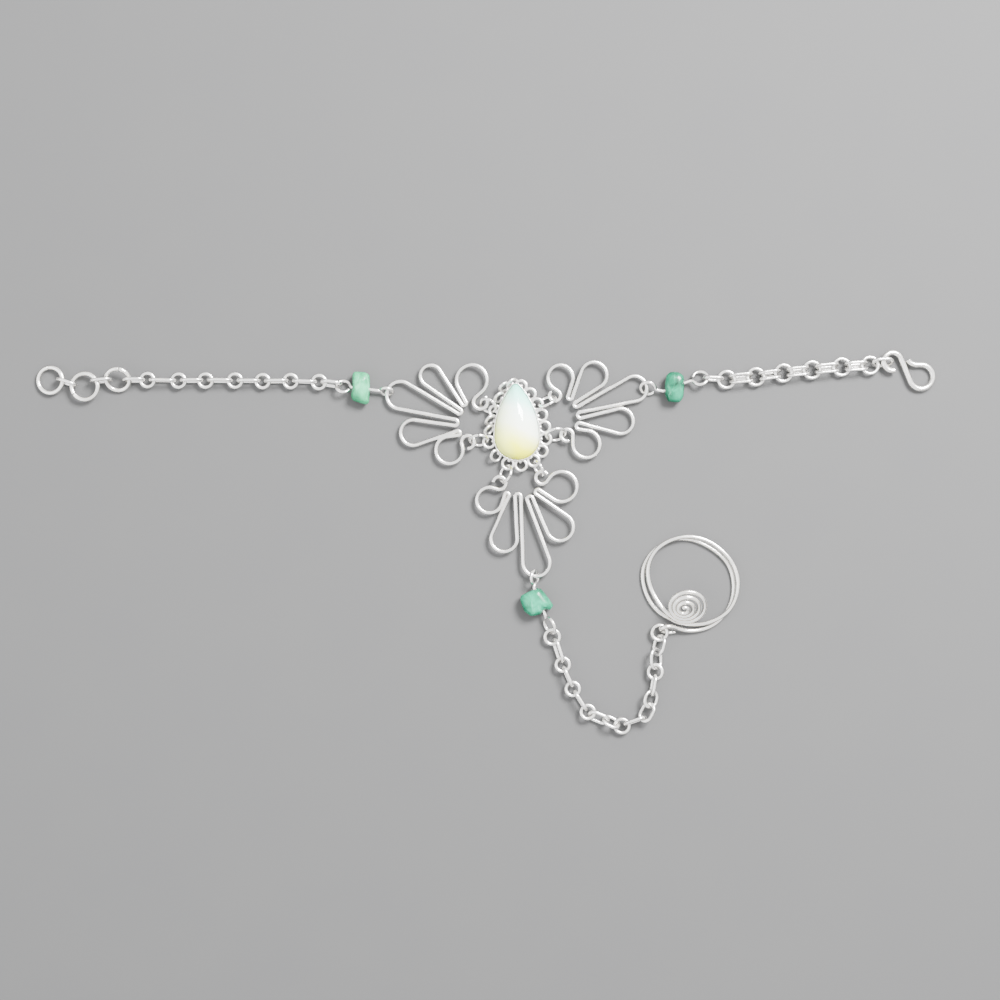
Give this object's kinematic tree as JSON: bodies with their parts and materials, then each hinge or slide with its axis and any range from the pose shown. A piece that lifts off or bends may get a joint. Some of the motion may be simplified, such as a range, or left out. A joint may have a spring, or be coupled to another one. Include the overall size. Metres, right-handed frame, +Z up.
{
  "type": "hand chain bracelet",
  "caption": "Bent-wire hand chain bracelet: pear stone medallion with looped fans, chip beads, wrist chains with rings and hook, and a spiral finger ring on a chain.",
  "frame": {"origin": "centre of the stone setting's flat back, on the surface that the piece lies on", "axes": "+X along the wrist chain towards the hook, +Y away from the finger ring, +Z up, out of the stone's face"},
  "size_m": [0.1802, 0.077, 0.0058],
  "materials": {
    "silver": "polished silver-coloured alpaca wire",
    "stone": "milky opalescent cabochon, pale mint above and pale yellow below",
    "bead": "polished green chip stone"
  },
  "bodies": {
    "root": {"stone": "stone", "setting": "silver", "fan_left": "silver", "fan_right": "silver", "fan_bottom": "silver", "link_upper_left": "silver", "link_lower_left": "silver", "link_upper_right": "silver", "link_lower_right": "silver", "link_bottom_left": "silver", "link_bottom_right": "silver", "bead_left": "bead", "pin_left": "silver", "bead_right": "bead", "pin_right": "silver", "bead_bottom": "bead", "pin_bottom": "silver", "chain_left": "silver", "chain_left_link_in": "silver", "chain_left_link_out": "silver", "chain_right": "silver", "chain_right_link_in": "silver", "chain_right_link_out": "silver", "chain_finger": "silver", "chain_finger_link_in": "silver", "chain_finger_link_out": "silver", "end_ring_1": "silver", "end_ring_2": "silver", "end_ring_3": "silver", "end_link_1": "silver", "end_link_2": "silver", "s_hook": "silver", "finger_ring": "silver"}
  },
  "joints": []
}
